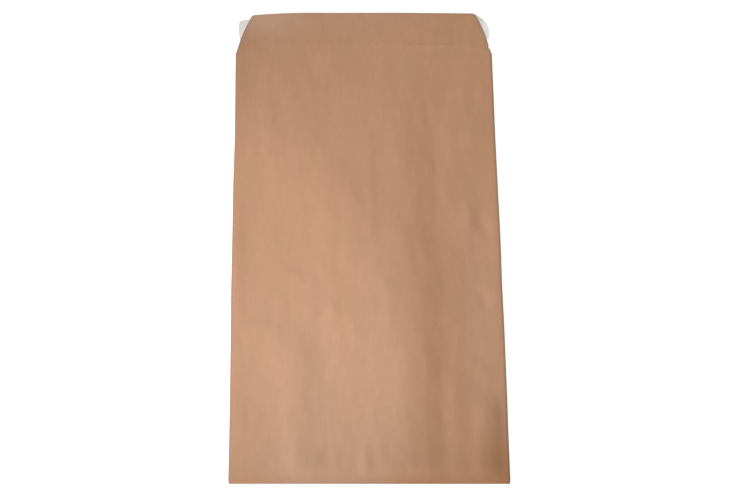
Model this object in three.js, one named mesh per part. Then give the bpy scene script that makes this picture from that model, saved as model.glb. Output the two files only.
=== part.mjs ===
// A brown kraft paper mailing bag with side gussets and a peel and seal flap, empty, lying on its back
// with the flap open. The bag itself is one sheet of paper: a tube with a lap seam down its back and a
// V-shaped gusset in each side, its bottom turned under and glued, its front panel carried on as the flap.
//
// Millimetres. +X runs across the bag, +Y from the folded bottom to the flap, +Z up from the table.
// Lengths along the bag are measured from the folded bottom, and heights on the flap from the mouth.

import * as THREE from 'three';

const { lerp, smoothstep } = THREE.MathUtils;

// Sheet and tube
const BAG_WIDTH = 250;
const TUBE_LENGTH = 400;
const GUSSET_DEPTH = 50;
const PAPER = 0.14;
const FOLD_GAP = 0.12; // air left between two layers in a pressed fold
const LAP_WIDTH = 20; // overlap of the two back halves
const LAP_STEP_RUN = 3; // run in which the inner lap steps up over the outer one
const TURN_UP = 25; // length of the bottom that is turned under

// How far the empty bag springs open
const SIDE_RISE = 4.2; // front panel over back panel at the side folds
const CROWN = 5; // further rise of the front panel along its middle
const GUSSET_PRINT = 0.5; // low ridge that each gusset's inner fold presses into the front panel
const GUSSET_PRINT_WIDTH = 36;
const CROWN_AT_EDGE = 0.6; // share of that rise left at the flap's top edge
const SETTLE_RUN = 32; // length in which the back comes down from the turned-up bottom
const OPENING_RUN = 130; // length in which the pressed bottom opens out to the full rise
const EASING_RUN = 90; // length before the mouth from which the crown eases off

// Flap
const FLAP_HEIGHT = 42;
const CREASE_HEIGHT = 9.3; // score line on which the flap folds shut
const CREASE_INSET = 2.7; // width that the taper has taken off each side at the score line
const CREASE_DIP = THREE.MathUtils.degToRad(1.4); // downward set of the flap past the score line
const BULGE_INSET = 6.8; // the tapered side bows out towards this point
const BULGE_DROP = 16.4; // and this far below the top edge
const CORNER_INSET = 15.1; // where side and top edge would meet without the rounding
const CORNER_ROUND = 2.2;

// Glue lines and the peel and seal closure
const GLUE = 0.1;
const BOND_CLEARANCE = 0.03; // kept between a film and the paper on each side of it
const SEAM_GLUE_WIDTH = 14;
const GLUE_MARGIN = 4; // bare paper between a glue line and the edge or fold nearest to it
const BOTTOM_GLUE_SIDE = 9; // bare paper between the bottom glue and the side folds
const BOTTOM_GLUE_CORNER = 3;
const ADHESIVE = 0.12;
const ADHESIVE_WIDTH = 16;
const ADHESIVE_SIDE = 5; // bare flap beside each end of the adhesive
const LINER = 0.08;
const LINER_WIDTH = 26;
const LINER_DROP = 2.5; // flap left bare above the middle of the liner
const LINER_TILT = THREE.MathUtils.degToRad(0.8); // stuck on askew, with its right end higher
const LINER_SIDE = 1.2; // each end of the liner stops this far inside the bag's side
const LINER_CURL = 1.6; // fall of the free ends, which stick out past the tapered sides

// Facets of the folds and of each stretch
const FOLD_PIECES = 4;
const BEND_PIECES = 6;
const MIDDLE_PIECES = 4;
const RIDGE_PIECES = 4;
const SIDE_PIECES = 3;
const LINER_END_PIECES = 4;

const PAPER_FINISH = { color: 0xbc9274, roughness: 0.85, metalness: 0 };
const GLUE_FINISH = { color: 0xd9cba6, roughness: 0.5, metalness: 0 };
const ADHESIVE_FINISH = { color: 0xe9e4d2, roughness: 0.35, metalness: 0 };
const LINER_FINISH = { color: 0xe6e3dd, roughness: 0.45, metalness: 0 };

// The sheet is drawn along its middle, half a thickness from both of its faces.
const halfPaper = PAPER / 2;
const layerPitch = PAPER + FOLD_GAP;
const foldRadius = layerPitch / 2;
const sideCentre = BAG_WIDTH / 2 - halfPaper - foldRadius;
const gussetCentre = BAG_WIDTH / 2 - GUSSET_DEPTH + halfPaper + foldRadius;
const filmSpace = GLUE + 2 * BOND_CLEARANCE;
const lapStep = PAPER + filmSpace;

// Pressed flat the bag is four layers thick at its gussets, and its bottom bends round a glue film.
const pressedRise = 3 * layerPitch;
const pressedStack = pressedRise + PAPER;
const bendInside = filmSpace / 2;
const bendCentre = pressedStack + bendInside;
const turnUpLift = bendCentre + bendInside;
const settleStart = TURN_UP + GLUE_MARGIN;
const settleEnd = settleStart + SETTLE_RUN;
const openingEnd = settleStart + OPENING_RUN;
const overallLength = TUBE_LENGTH + FLAP_HEIGHT;

function spaced(from, to, pieces) {
  return Array.from({ length: pieces + 1 }, (_, i) => lerp(from, to, i / pieces));
}

// Height of the back panel's outside over the table, at a length along the bag.
function backLift(length) {
  return turnUpLift * (1 - smoothstep(length, settleStart, settleEnd));
}

// Height of the middle of the front panel's paper, or of the flap's, over the table. Across the bag it
// is an arch with a low ridge over each gusset's inner fold, and past the score line the flap dips.
function frontHeight(x, length) {
  const opened = smoothstep(length, settleStart, openingEnd);
  const eased = lerp(1, CROWN_AT_EDGE, smoothstep(length, TUBE_LENGTH - EASING_RUN, overallLength));
  const side = halfPaper + lerp(turnUpLift + pressedRise, SIDE_RISE, opened);
  const arch = CROWN * opened * eased * (1 - (x / sideCentre) ** 2);
  const offRidge = Math.min(2 * Math.abs(Math.abs(x) - gussetCentre) / GUSSET_PRINT_WIDTH, 1);
  const ridge = GUSSET_PRINT * opened * (1 + Math.cos(Math.PI * offRidge)) / 2;
  const dip = Math.max(length - TUBE_LENGTH - CREASE_HEIGHT, 0) * Math.tan(CREASE_DIP);
  return side + arch + ridge - dip;
}

// Places across the front panel, the flap or a strip under it, out to a half width on either side. They
// are the same over the middle and over the two ridges, so that what is bonded together has like facets.
function placesAcross(halfWidth) {
  const ridgeFrom = gussetCentre - GUSSET_PRINT_WIDTH / 2;
  const ridgeTo = gussetCentre + GUSSET_PRINT_WIDTH / 2;
  const right = [
    ...spaced(0, ridgeFrom, MIDDLE_PIECES).slice(1),
    ...spaced(ridgeFrom, ridgeTo, RIDGE_PIECES).slice(1),
    ...spaced(ridgeTo, halfWidth, SIDE_PIECES).slice(1),
  ];
  const left = right.map((x) => -x).reverse();
  return [...left, 0, ...right];
}

// Draws a run of points along three.js curves, with a set number of pieces for each curve, so that every
// cross-section has the same points in the same order.
class Pen {
  constructor(x, z) {
    this.points = [new THREE.Vector2(x, z)];
  }

  get column() {
    return this.points.length - 1;
  }

  along(curve, pieces) {
    this.points.push(...curve.getPoints(pieces).slice(1));
  }

  line(x, z, pieces) {
    this.along(new THREE.LineCurve(this.points.at(-1), new THREE.Vector2(x, z)), pieces);
  }

  fold(x, z, start, turn) {
    this.along(new THREE.ArcCurve(x, z, foldRadius, start, start + turn, turn < 0), FOLD_PIECES);
  }
}

// Cross-section of the tube, from the inner lap's free edge once round to the outer lap's free edge.
// Its heights are measured from the back panel's outside.
function tubeSection(length) {
  const lift = backLift(length);
  const back = halfPaper;
  const front = frontHeight(sideCentre, length) - lift;
  const middle = (back + front) / 2;
  const lap = back + lapStep;
  const lapEdge = LAP_WIDTH / 2;
  const stepTop = -lapEdge - LAP_STEP_RUN / 2;
  const stepFoot = stepTop - LAP_STEP_RUN;
  const down = -Math.PI / 2;
  const up = Math.PI / 2;

  const pen = new Pen(lapEdge, lap);
  pen.line(stepTop, lap, 2);
  const step = new THREE.CubicBezierCurve(
    new THREE.Vector2(stepTop, lap),
    new THREE.Vector2((stepTop + stepFoot) / 2, lap),
    new THREE.Vector2((stepTop + stepFoot) / 2, back),
    new THREE.Vector2(stepFoot, back),
  );
  pen.along(step, 3);

  // Left side: back fold, lower wing, inner fold, upper wing, front fold
  pen.line(-sideCentre, back, 3);
  pen.fold(-sideCentre, back + foldRadius, down, -Math.PI);
  pen.line(-gussetCentre, middle - foldRadius, 2);
  pen.fold(-gussetCentre, middle, down, Math.PI);
  pen.line(-sideCentre, front - 2 * foldRadius, 2);
  pen.fold(-sideCentre, front - foldRadius, down, -Math.PI);

  // Front panel, arched between its two folds
  const frontFrom = pen.column;
  const across = placesAcross(sideCentre).slice(1);
  pen.points.push(...across.map((x) => new THREE.Vector2(x, frontHeight(x, length) - lift)));

  // Right side, the same folds on the way down
  pen.fold(sideCentre, front - foldRadius, up, -Math.PI);
  pen.line(gussetCentre, middle + foldRadius, 2);
  pen.fold(gussetCentre, middle, up, Math.PI);
  pen.line(sideCentre, back + 2 * foldRadius, 2);
  pen.fold(sideCentre, back + foldRadius, up, -Math.PI);
  pen.line(-lapEdge, back, 3);
  return { points: pen.points, frontFrom };
}

// The sheet's way along the bag: under the bottom, round the bend and over the top to the mouth. A stop
// holds the place of the section's height 0, and how far its height axis leans from +Z towards -Y.
function stopsAlongTube(margin) {
  const under = spaced(TURN_UP - margin, bendCentre, 1).slice(0, -1);
  const bend = spaced(Math.PI, 0, BEND_PIECES);
  const over = [
    ...spaced(bendCentre, settleStart, 1).slice(1),
    ...spaced(settleStart, settleEnd, 6).slice(1),
    ...spaced(settleEnd, openingEnd, 6).slice(1),
    ...spaced(openingEnd, TUBE_LENGTH - margin, 6).slice(1),
  ];
  return [
    ...under.map((y) => ({ length: 0, y, z: pressedStack, lean: Math.PI })),
    ...bend.map((lean) => ({
      length: 0,
      y: bendCentre - bendInside * Math.sin(lean),
      z: bendCentre + bendInside * Math.cos(lean),
      lean,
    })),
    ...over.map((y) => ({ length: y, y, z: backLift(y), lean: 0 })),
  ];
}

function placed(stop, point) {
  const y = stop.y - point.y * Math.sin(stop.lean);
  const z = stop.z + point.y * Math.cos(stop.lean);
  return new THREE.Vector3(point.x, y, z);
}

// Thickens a grid of points into one closed solid. Its two faces lie at the distances low and high from
// the grid, along the normal of the surface, and a cell that lacks a corner is left out.
function thickened(rows, low, high) {
  const positions = [];
  const indices = [];
  const corners = new Map();
  const point = (i, j) => rows[j]?.[i];
  const present = (i, j) => point(i, j) && point(i + 1, j) && point(i, j + 1) && point(i + 1, j + 1);

  function normal(i, j) {
    const here = point(i, j);
    const across = new THREE.Vector3().subVectors(point(i + 1, j) ?? here, point(i - 1, j) ?? here);
    const along = new THREE.Vector3().subVectors(point(i, j + 1) ?? here, point(i, j - 1) ?? here);
    return across.cross(along).normalize();
  }

  function corner(i, j, distance) {
    const key = `${i} ${j} ${distance}`;
    if (!corners.has(key)) {
      corners.set(key, positions.length / 3);
      positions.push(...point(i, j).clone().addScaledVector(normal(i, j), distance));
    }
    return corners.get(key);
  }

  function quad(a, b, c, d) {
    indices.push(a, b, c, a, c, d);
  }

  rows.forEach((row, j) => row.forEach((_, i) => {
    if (!present(i, j)) return;
    const ring = [[i, j], [i + 1, j], [i + 1, j + 1], [i, j + 1]];
    const beyond = [[i, j - 1], [i + 1, j], [i, j + 1], [i - 1, j]];
    quad(...ring.map(([u, v]) => corner(u, v, high)));
    quad(...ring.map(([u, v]) => corner(u, v, low)).reverse());
    ring.forEach((from, side) => {
      const to = ring[(side + 1) % 4];
      if (present(...beyond[side])) return;
      quad(corner(...from, low), corner(...to, low), corner(...to, high), corner(...from, high));
    });
  }));

  const geometry = new THREE.BufferGeometry();
  geometry.setAttribute('position', new THREE.Float32BufferAttribute(positions, 3));
  geometry.setIndex(indices);
  geometry.computeVertexNormals();
  return geometry;
}

// Right-hand side of the flap as points of half width and height: a straight taper up to the score line,
// a side that bows outwards, and a rounded corner into the top edge.
function flapOutline() {
  const mouth = new THREE.Vector2(sideCentre, 0);
  const crease = new THREE.Vector2(sideCentre - CREASE_INSET, CREASE_HEIGHT);
  const bulge = new THREE.Vector2(sideCentre - BULGE_INSET, FLAP_HEIGHT - BULGE_DROP);
  const tip = new THREE.Vector2(sideCentre - CORNER_INSET, FLAP_HEIGHT);
  const roundStart = tip.clone().add(bulge.clone().sub(tip).setLength(CORNER_ROUND));
  const roundEnd = new THREE.Vector2(tip.x - CORNER_ROUND, FLAP_HEIGHT);
  const pen = new Pen(mouth.x, mouth.y);
  pen.line(crease.x, crease.y, 2);
  pen.along(new THREE.QuadraticBezierCurve(crease, bulge, roundStart), 6);
  pen.along(new THREE.QuadraticBezierCurve(roundStart, tip, roundEnd), 4);
  return pen.points;
}

function flapHalfWidth(height) {
  const outline = flapOutline();
  const above = outline.findIndex((point) => point.y > height);
  const [a, b] = [outline[above - 1], outline[above]];
  return lerp(a.x, b.x, (height - a.y) / (b.y - a.y));
}

function bagGeometry() {
  const rows = [];
  let frontFrom = 0;
  for (const stop of stopsAlongTube(0)) {
    const section = tubeSection(stop.length);
    frontFrom = section.frontFrom;
    rows.push(section.points.map((point) => placed(stop, point)));
  }
  for (const { x: halfWidth, y: height } of flapOutline().slice(1)) {
    const length = TUBE_LENGTH + height;
    const row = [];
    placesAcross(halfWidth).forEach((x, i) => {
      row[frontFrom + i] = new THREE.Vector3(x, length, frontHeight(x, length));
    });
    rows.push(row);
  }
  return thickened(rows, -halfPaper, halfPaper);
}

// The glue line between the two laps runs the whole way with them, round the bottom bend too.
function seamGlueGeometry() {
  const height = PAPER + filmSpace / 2;
  const across = [SEAM_GLUE_WIDTH / 2, -SEAM_GLUE_WIDTH / 2].map((x) => new THREE.Vector2(x, height));
  const rows = stopsAlongTube(GLUE_MARGIN).map((stop) => across.map((point) => placed(stop, point)));
  return thickened(rows, -GLUE / 2, GLUE / 2);
}

function bottomGlueGeometry() {
  const right = BAG_WIDTH / 2 - BOTTOM_GLUE_SIDE;
  const near = bendCentre + GLUE_MARGIN;
  const far = TURN_UP - GLUE_MARGIN;
  const corner = BOTTOM_GLUE_CORNER;
  const film = new THREE.Shape();
  film.moveTo(-right + corner, near);
  film.absarc(right - corner, near + corner, corner, -Math.PI / 2, 0, false);
  film.absarc(right - corner, far - corner, corner, 0, Math.PI / 2, false);
  film.absarc(-right + corner, far - corner, corner, Math.PI / 2, Math.PI, false);
  film.absarc(-right + corner, near + corner, corner, Math.PI, Math.PI * 1.5, false);
  return new THREE.ExtrudeGeometry(film, { depth: GLUE, bevelEnabled: false, curveSegments: 4 });
}

// A strip under the flap, between two heights, at a distance from the middle of the flap's paper. Its
// heights hold in the middle, and climb to the right by the tilt.
function underFlap(across, heights, tilt, distance, thickness, fallAt) {
  const rows = heights.map((middle) => across.map((x) => {
    const height = middle + x * Math.tan(tilt);
    return new THREE.Vector3(x, height, frontHeight(x, TUBE_LENGTH + height) - fallAt(x));
  }));
  return thickened(rows, -distance - thickness, -distance);
}

const linerHigh = FLAP_HEIGHT - LINER_DROP;
const linerMiddle = linerHigh - LINER_WIDTH / 2;
const adhesiveLow = linerMiddle - ADHESIVE_WIDTH / 2;
const adhesiveHigh = linerMiddle + ADHESIVE_WIDTH / 2;
const adhesiveHalf = flapHalfWidth(adhesiveHigh) - ADHESIVE_SIDE;
const adhesiveDistance = halfPaper + BOND_CLEARANCE;
const linerHalf = BAG_WIDTH / 2 - LINER_SIDE;
const linerDistance = adhesiveDistance + ADHESIVE + BOND_CLEARANCE;

const bonded = placesAcross(adhesiveHalf);

function adhesiveGeometry() {
  const heights = spaced(adhesiveLow, adhesiveHigh, 2);
  return underFlap(bonded, heights, 0, adhesiveDistance, ADHESIVE, () => 0);
}

// The liner's ends are free past the adhesive, and curl down in a curve that starts level.
function linerGeometry() {
  const freeEnd = spaced(adhesiveHalf, linerHalf, LINER_END_PIECES).slice(1);
  const across = [...freeEnd.map((x) => -x).reverse(), ...bonded, ...freeEnd];
  const heights = spaced(linerHigh - LINER_WIDTH, linerHigh, 3);
  const pastBond = (x) => Math.max(Math.abs(x) - adhesiveHalf, 0) / (linerHalf - adhesiveHalf);
  const curl = (x) => LINER_CURL * pastBond(x) ** 2;
  return underFlap(across, heights, LINER_TILT, linerDistance, LINER, curl);
}

function part(name, geometry, finish) {
  const mesh = new THREE.Mesh(geometry, new THREE.MeshStandardMaterial(finish));
  mesh.name = name;
  return mesh;
}

// The bag lies with the middle of its outline over the origin. The closure's heights start at the mouth.
const bag = new THREE.Group();
bag.position.y = -overallLength / 2;
bag.add(part('kraft_bag', bagGeometry(), PAPER_FINISH));
bag.add(part('seam_glue', seamGlueGeometry(), GLUE_FINISH));

const bottomGlue = part('bottom_glue', bottomGlueGeometry(), GLUE_FINISH);
bottomGlue.position.z = pressedStack + BOND_CLEARANCE;
bag.add(bottomGlue);

const closure = new THREE.Group();
closure.position.y = TUBE_LENGTH;
closure.add(part('seal_adhesive', adhesiveGeometry(), ADHESIVE_FINISH));
closure.add(part('release_liner', linerGeometry(), LINER_FINISH));
bag.add(closure);

const mailingBag = new THREE.Group();
mailingBag.add(bag);

export default mailingBag;
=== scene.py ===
"""A kraft paper mailing bag, empty, lying on its back with its peel and seal flap open.

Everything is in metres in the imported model's frame: +X across the bag, +Y from the folded bottom to the flap
and +Z up from the table. Lengths along the bag are measured from the folded bottom. The bag is one sheet of
paper: a tube with a lap seam down its back and a V-shaped gusset in each side, its bottom turned under and
glued, its front panel carried on as the flap. The width and length of the bag and the lengths of the adhesive
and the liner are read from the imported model's boxes.
"""

import logging
import math
from dataclasses import dataclass, field
from enum import Enum

import bpy
import numpy as np
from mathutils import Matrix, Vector

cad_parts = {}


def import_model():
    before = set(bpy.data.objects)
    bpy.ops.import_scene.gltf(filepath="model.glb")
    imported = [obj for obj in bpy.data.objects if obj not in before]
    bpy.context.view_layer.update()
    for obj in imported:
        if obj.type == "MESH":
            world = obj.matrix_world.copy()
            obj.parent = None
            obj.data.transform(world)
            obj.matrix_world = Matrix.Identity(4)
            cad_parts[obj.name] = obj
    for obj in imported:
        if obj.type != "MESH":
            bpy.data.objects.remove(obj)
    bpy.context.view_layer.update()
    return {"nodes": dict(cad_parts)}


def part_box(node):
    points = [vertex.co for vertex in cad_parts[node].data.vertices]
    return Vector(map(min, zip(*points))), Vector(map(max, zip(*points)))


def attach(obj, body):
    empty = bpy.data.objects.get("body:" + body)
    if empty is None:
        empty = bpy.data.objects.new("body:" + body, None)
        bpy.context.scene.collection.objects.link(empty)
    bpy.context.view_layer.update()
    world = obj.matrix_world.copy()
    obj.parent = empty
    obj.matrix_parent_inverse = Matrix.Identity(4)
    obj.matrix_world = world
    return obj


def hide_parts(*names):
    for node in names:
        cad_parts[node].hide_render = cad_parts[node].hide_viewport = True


LOG = logging.getLogger("mailing_bag")
MM = 0.001
SHARP_ANGLE = math.radians(60)

Route = tuple[tuple[float, float], ...]
Triple = tuple[float, float, float]
Colour = tuple[int, int, int]
Columns = dict[str, np.ndarray]
Socket = bpy.types.NodeSocket


class Side(Enum):
    """The two sides of the bag, as the sign of X on that side."""

    LEFT = -1
    RIGHT = 1


def ramp(value: np.ndarray | float, start: float, end: float) -> np.ndarray:
    """Climbs smoothly from 0 at start to 1 at end.

    Args:
        value: Where the ramp is read.
        start: The value up to which it is 0.
        end: The value from which it is 1, which may lie below start.

    Returns:
        The ramp's height at each value.
    """
    share = np.clip((np.asarray(value, float) - start) / (end - start), 0.0, 1.0)
    return share * share * (3.0 - 2.0 * share)


def spaced(start: float, end: float, step: float) -> np.ndarray:
    """Even places from start to end, both included, about a step apart."""
    pieces = max(1, round(abs(end - start) / step))
    return np.linspace(start, end, pieces + 1)


def graded(start: float, *stretches: tuple[float, float]) -> np.ndarray:
    """Places through stretches of different spacing.

    Args:
        start: Where the first stretch begins.
        stretches: The end of each stretch, and about how far apart its places are.

    Returns:
        The places up to the last end, without start itself.
    """
    found = []
    for end, step in stretches:
        found.append(spaced(start, end, step)[1:])
        start = end
    return np.concatenate(found)


@dataclass(frozen=True)
class Unevenness:
    """Smooth seeded hills and hollows, longer along the bag than across it, as paper has from its making.

    Attributes:
        seed: Seed of the random draws.
        across: Distance between neighbouring hills across the bag.
        along: Distance between neighbouring hills along the bag.
        height: Height of a usual hill over the mean.
    """

    seed: int
    across: float
    along: float
    height: float

    def at(self, x: np.ndarray, length: np.ndarray) -> np.ndarray:
        """Reads the unevenness.

        Args:
            x: Places across the bag.
            length: Places along the bag.

        Returns:
            The height at each place.
        """
        reach = 0.5  # the hills cover a square that reaches this far from the middle of the bottom fold
        columns = int(2 * reach / self.across) + 2
        rows = int(2 * reach / self.along) + 2
        lattice = np.random.default_rng(self.seed).normal(0.0, self.height, (columns, rows))
        u = (np.asarray(x, float) + reach) / self.across
        v = (np.asarray(length, float) + reach) / self.along
        i, j = np.floor(u).astype(int), np.floor(v).astype(int)
        a, b = ramp(u - i, 0.0, 1.0), ramp(v - j, 0.0, 1.0)
        near = lattice[i, j] * (1 - a) + lattice[i + 1, j] * a
        far = lattice[i, j + 1] * (1 - a) + lattice[i + 1, j + 1] * a
        return near * (1 - b) + far * b


@dataclass(frozen=True)
class Swell:
    """A low oval rise, or hollow where its height is below 0, in the front panel.

    Attributes:
        x: Middle across the bag.
        length: Middle along the bag.
        height: Height in its middle.
        across: Half width at which it has fallen to three fifths.
        along: Half length at which it has fallen to three fifths.
        turn: Degrees that the oval is turned by, anticlockwise.
    """

    x: float
    length: float
    height: float
    across: float
    along: float
    turn: float = 0.0

    @classmethod
    def in_mm(
        cls, x: float, length: float, height: float, across: float, along: float, turn: float = 0.0
    ) -> "Swell":
        """Makes a swell from millimetres."""
        return cls(x * MM, length * MM, height * MM, across * MM, along * MM, turn)

    def at(self, x: np.ndarray, length: np.ndarray) -> np.ndarray:
        """Height of the swell.

        Args:
            x: Places across the bag.
            length: Places along the bag.

        Returns:
            The height at each place.
        """
        angle = math.radians(self.turn)
        dx, dy = x - self.x, length - self.length
        u = (dx * math.cos(angle) + dy * math.sin(angle)) / self.across
        v = (dy * math.cos(angle) - dx * math.sin(angle)) / self.along
        return self.height * np.exp(-(u * u + v * v) / 2)


@dataclass(frozen=True)
class Crest:
    """A ridge, or furrow where its height is below 0, along a smooth line on the front panel.

    Attributes:
        route: Points that the line runs through, each across and along the bag.
        height: Height of the line over the panel around it.
        low_side: Width of its flank towards -X, or towards the bottom for a line that runs across.
        high_side: Width of its other flank.
        fade: Length in which it dies away at each of its ends, or half the line where that is shorter.
    """

    route: Route
    height: float
    low_side: float
    high_side: float
    fade: float = math.inf

    @classmethod
    def in_mm(
        cls, route: Route, height: float, low_side: float, high_side: float, fade: float = math.inf
    ) -> "Crest":
        """Makes a crest from millimetres."""
        metres = tuple((x * MM, length * MM) for x, length in route)
        return cls(metres, height * MM, low_side * MM, high_side * MM, fade * MM)

    def line(self) -> np.ndarray:
        """Draws the smooth line through the route.

        Returns:
            Close points along it.
        """
        points = np.array(self.route, float)
        if len(points) < 3:
            return np.linspace(points[0], points[-1], 9)
        padded = np.vstack([2 * points[0] - points[1], points, 2 * points[-1] - points[-2]])
        stretches = []
        for a, b, c, d in zip(padded, padded[1:], padded[2:], padded[3:]):
            t = np.linspace(0.0, 1.0, 8, endpoint=False)[:, None]
            bend = (a - 2.5 * b + 2 * c - d / 2) * t**2
            twist = (1.5 * (b - c) + (d - a) / 2) * t**3
            stretches.append(b + (c - a) * t / 2 + bend + twist)
        return np.vstack([*stretches, points[-1]])

    def at(self, x: np.ndarray, length: np.ndarray) -> np.ndarray:
        """Height of the crest.

        Args:
            x: Places across the bag.
            length: Places along the bag.

        Returns:
            The height at each place, by how far it is from the line and how far along.
        """
        line = self.line()
        steps = np.diff(line, axis=0)
        runs = np.hypot(steps[:, 0], steps[:, 1])
        starts = np.concatenate([[0.0], np.cumsum(runs)])
        place = np.stack([x, length], axis=-1)
        nearest = np.full(np.shape(x), np.inf)
        side = np.zeros(np.shape(x))
        travelled = np.zeros(np.shape(x))
        for origin, step, run, start in zip(line, steps, runs, starts):
            offset = place - origin
            raw = (offset @ step) / run
            along = np.clip(raw, 0.0, run)
            gap = np.linalg.norm(offset - along[..., None] * step / run, axis=-1)
            normal = np.array([-step[1], step[0]]) / run
            normal = normal if normal.sum() > 0 else -normal
            closer = gap < nearest
            nearest = np.where(closer, gap, nearest)
            side = np.where(closer, offset @ normal, side)
            travelled = np.where(closer, start + along, travelled)
        width = np.where(side < 0, self.low_side, self.high_side)
        total = starts[-1]
        fade = min(self.fade, total / 2)
        held = ramp(travelled, 0.0, fade) * ramp(travelled, total, total - fade)
        return self.height * held * np.exp(-((nearest / width) ** 2) / 2)


@dataclass(frozen=True)
class PaperStock:
    """The sheet that the bag is folded from.

    Attributes:
        thickness: Thickness of the paper.
        fold_gap: Air left between two layers in a pressed fold.
        glue: Room that a glue film takes between two layers.
    """

    thickness: float = 0.14 * MM
    fold_gap: float = 0.12 * MM
    glue: float = 0.16 * MM

    @property
    def half(self) -> float:
        """Half the thickness."""
        return self.thickness / 2

    @property
    def pitch(self) -> float:
        """Distance between the middles of two layers that lie on each other."""
        return self.thickness + self.fold_gap

    @property
    def fold_radius(self) -> float:
        """Radius of a pressed fold, to the middle of the paper."""
        return self.pitch / 2

    @property
    def pressed_rise(self) -> float:
        """Height from the back panel to the front panel where all four layers are pressed together."""
        return 3 * self.pitch


@dataclass(frozen=True)
class BagSizes:
    """Sizes of the folded bag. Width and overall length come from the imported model.

    Attributes:
        width: Width over the two side folds.
        overall: Length from the folded bottom to the top edge of the open flap.
        flap: Height of the flap over the mouth.
        gusset: Depth of the gusset in each side.
        lap: How far the two halves of the back panel lie over each other in the seam.
        lap_step_run: Width in which the outer half comes down beside the seam.
        turn_up: How much of the bottom is turned under.
        glue_margin: Length past the turned-up bottom in which the back panel still lies on it.
        settle_run: Length in which the back panel then comes down to the table.
        opening_run: Length in which the bag opens out from the pressed bottom.
        easing_run: Length before the mouth in which the crown starts to go down.
        side_rise: Height at which the bag stands open at its side folds.
        crown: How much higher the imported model's front panel is in its middle.
        crown_at_edge: Share of the crown that is left at the top edge of the flap.
        crease: Height of the flap's score line over the mouth.
        crease_inset: How far in the flap's outline is at the score line.
        crease_dip: Angle at which the flap dips from there.
        bulge_inset: How far in the point is that the flap's side bows towards.
        bulge_drop: How far below the top edge that point is.
        corner_inset: How far in the flap's top corner is.
        corner_round: Length of either side of the corner that its rounding takes.
        stock: Its paper.
    """

    width: float
    overall: float
    flap: float = 42 * MM
    gusset: float = 50 * MM
    lap: float = 20 * MM
    lap_step_run: float = 3 * MM
    turn_up: float = 25 * MM
    glue_margin: float = 4 * MM
    settle_run: float = 32 * MM
    opening_run: float = 130 * MM
    easing_run: float = 90 * MM
    side_rise: float = 4.2 * MM
    crown: float = 5 * MM
    crown_at_edge: float = 0.6
    crease: float = 9.3 * MM
    crease_inset: float = 2.7 * MM
    crease_dip: float = math.radians(1.4)
    bulge_inset: float = 6.8 * MM
    bulge_drop: float = 16.4 * MM
    corner_inset: float = 15.1 * MM
    corner_round: float = 2.2 * MM
    stock: PaperStock = field(default_factory=PaperStock)

    @property
    def tube(self) -> float:
        """Length from the folded bottom to the mouth."""
        return self.overall - self.flap

    @property
    def side_centre(self) -> float:
        """Where the side folds turn, across the bag."""
        return self.width / 2 - self.stock.half - self.stock.fold_radius

    @property
    def gusset_centre(self) -> float:
        """Where a gusset's inner fold turns, across the bag."""
        return self.width / 2 - self.gusset + self.stock.half + self.stock.fold_radius

    @property
    def bend_inside(self) -> float:
        """Radius of the inside of the bottom bend."""
        return self.stock.glue / 2

    @property
    def bend_centre(self) -> float:
        """Distance of the bottom bend's middle from the folded bottom, and from the table."""
        return self.stock.pressed_rise + self.stock.thickness + self.bend_inside

    @property
    def turn_up_lift(self) -> float:
        """Height at which the back panel lies on the turned-up bottom."""
        return self.bend_centre + self.bend_inside

    @property
    def settle_start(self) -> float:
        """Length at which the back panel starts to come down to the table."""
        return self.turn_up + self.glue_margin

    @property
    def settle_end(self) -> float:
        """Length from which the back panel lies on the table."""
        return self.settle_start + self.settle_run

    @property
    def opening_end(self) -> float:
        """Length from which the bag stands open to its full height."""
        return self.settle_start + self.opening_run

    def back_lift(self, length: np.ndarray | float) -> np.ndarray:
        """Height of the back panel's outside over the table, at a length along the bag."""
        return self.turn_up_lift * (1 - ramp(length, self.settle_start, self.settle_end))

    def opened(self, length: np.ndarray | float) -> np.ndarray:
        """How far the bag has opened out at a length, from 0 at the pressed bottom to 1."""
        return ramp(length, self.settle_start, self.opening_end)

    def side_height(self, length: np.ndarray | float) -> np.ndarray:
        """Height of the front panel's paper at the side folds."""
        pressed = self.turn_up_lift + self.stock.pressed_rise
        return self.stock.half + pressed + (self.side_rise - pressed) * self.opened(length)


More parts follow.
